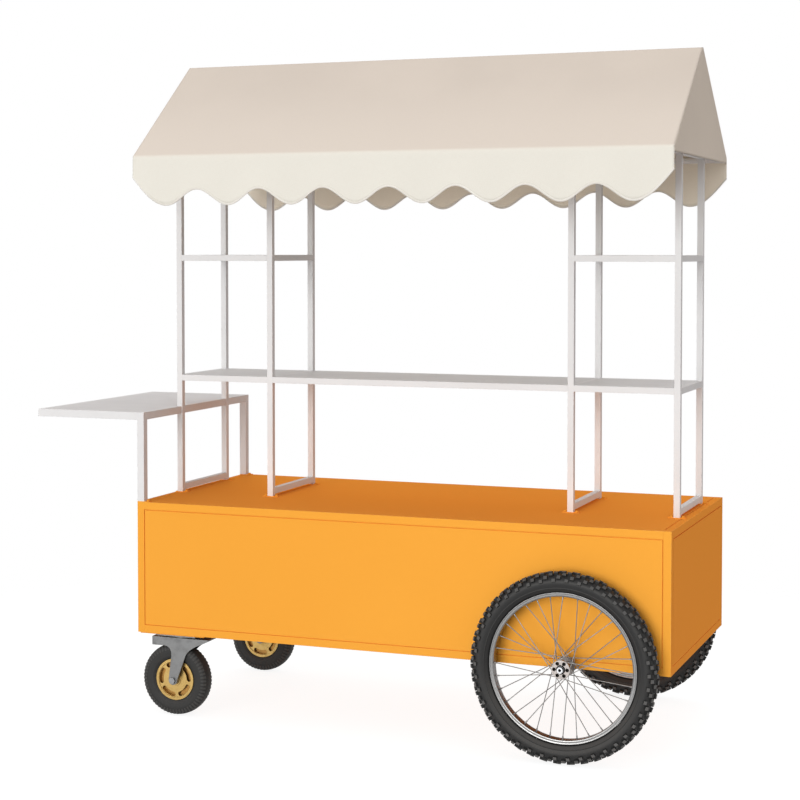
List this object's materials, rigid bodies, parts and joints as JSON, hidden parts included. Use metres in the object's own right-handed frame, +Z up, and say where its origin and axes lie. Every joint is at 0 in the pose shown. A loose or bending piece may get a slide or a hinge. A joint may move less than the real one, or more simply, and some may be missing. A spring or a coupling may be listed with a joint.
{
  "type": "display trolley",
  "caption": "Push-along display trolley: panelled body on spoked wheels and swivel casters, shelf towers, side table and a ridged cloth canopy with scalloped valances.",
  "frame": {"origin": "on the floor, under the middle of the overall length and width", "axes": "+Z up; -Y is the front; -X is the side-table end and +X the spoked-wheel end"},
  "size_m": [2.184, 0.9786, 2.191],
  "materials": {
    "enamel": "smooth satin orange enamel",
    "white_tube": "satin white powder coat",
    "shelf_sheet": "satin pale grey-white powder coat",
    "cover_cloth": "matte cream coated canvas",
    "gable_cloth": "matte taupe canvas",
    "tyre_rubber": "matte black rubber",
    "rim_alloy": "satin pale alloy",
    "hub_alloy": "turned alloy",
    "spoke_steel": "bright drawn wire",
    "bright_steel": "ground steel",
    "caster_steel": "grey zinc-look pressed steel",
    "zinc": "zinc plate",
    "caster_gold": "yellow passivated steel",
    "caster_rubber": "dark matte rubber"
  },
  "bodies": {
    "trolley": {"axle_beam": "enamel", "axle_end_bolts": "bright_steel", "axle_spacers": "bright_steel", "canopy_cover": "cover_cloth", "canopy_ties": "white_tube", "caster_bolts": "zinc", "caster_kingpins": "zinc", "caster_mount_plate": "enamel", "caster_plates": "caster_steel", "corner_posts": "enamel", "cross_rails": "enamel", "deck_panel": "enamel", "deck_stiffeners": "enamel", "eave_tubes": "white_tube", "floor_panel": "enamel", "foot_bolts": "enamel", "foot_plates": "enamel", "foot_rails": "white_tube", "front_panel": "enamel", "front_shelf_rails": "white_tube", "left_end_panel": "enamel", "left_gable": "gable_cloth", "left_tower_posts": "white_tube", "left_upper_shelf": "shelf_sheet", "long_rails": "enamel", "middle_shelf": "shelf_sheet", "rafters": "white_tube", "rear_panel": "enamel", "rear_shelf_rails": "white_tube", "ridge_tube": "white_tube", "right_end_panel": "enamel", "right_gable": "gable_cloth", "right_tower_posts": "white_tube", "right_upper_shelf": "shelf_sheet", "side_shelf_rails": "white_tube", "table_cross_rails": "white_tube", "table_legs": "white_tube", "table_long_rails": "white_tube", "table_top": "shelf_sheet", "wheel_axle": "bright_steel"},
    "front_wheel": {"front_tyre": "tyre_rubber", "front_rim": "rim_alloy", "front_spokes": "spoke_steel", "front_hub": "hub_alloy", "front_hub_bearings": "bright_steel"},
    "front_caster": {"front_caster_fork": "caster_steel", "front_caster_axle": "zinc"},
    "front_caster_wheel": {"front_caster_rim": "caster_gold", "front_caster_tyre": "caster_rubber", "front_caster_bush": "zinc"},
    "rear_wheel": {"rear_tyre": "tyre_rubber", "rear_rim": "rim_alloy", "rear_spokes": "spoke_steel", "rear_hub": "hub_alloy", "rear_hub_bearings": "bright_steel"},
    "rear_caster": {"rear_caster_fork": "caster_steel", "rear_caster_axle": "zinc"},
    "rear_caster_wheel": {"rear_caster_rim": "caster_gold", "rear_caster_tyre": "caster_rubber", "rear_caster_bush": "zinc"}
  },
  "joints": [
    {"name": "front_wheel_spin", "type": "hinge", "parent": "trolley", "child": "front_wheel", "pos_m": [0.77, -0.448, 0.2925], "axis": [0, 1, 0], "continuous": true},
    {"name": "front_caster_swivel", "type": "hinge", "parent": "trolley", "child": "front_caster", "pos_m": [-0.574, -0.338, 0.264], "axis": [0, 0, 1], "continuous": true},
    {"name": "front_caster_spin", "type": "hinge", "parent": "front_caster", "child": "front_caster_wheel", "pos_m": [-0.597, -0.338, 0.12], "axis": [0, 1, 0], "continuous": true},
    {"name": "rear_wheel_spin", "type": "hinge", "parent": "trolley", "child": "rear_wheel", "pos_m": [0.77, 0.448, 0.2925], "axis": [0, 1, 0], "continuous": true},
    {"name": "rear_caster_swivel", "type": "hinge", "parent": "trolley", "child": "rear_caster", "pos_m": [-0.574, 0.338, 0.264], "axis": [0, 0, 1], "continuous": true},
    {"name": "rear_caster_spin", "type": "hinge", "parent": "rear_caster", "child": "rear_caster_wheel", "pos_m": [-0.597, 0.338, 0.12], "axis": [0, 1, 0], "continuous": true}
  ]
}
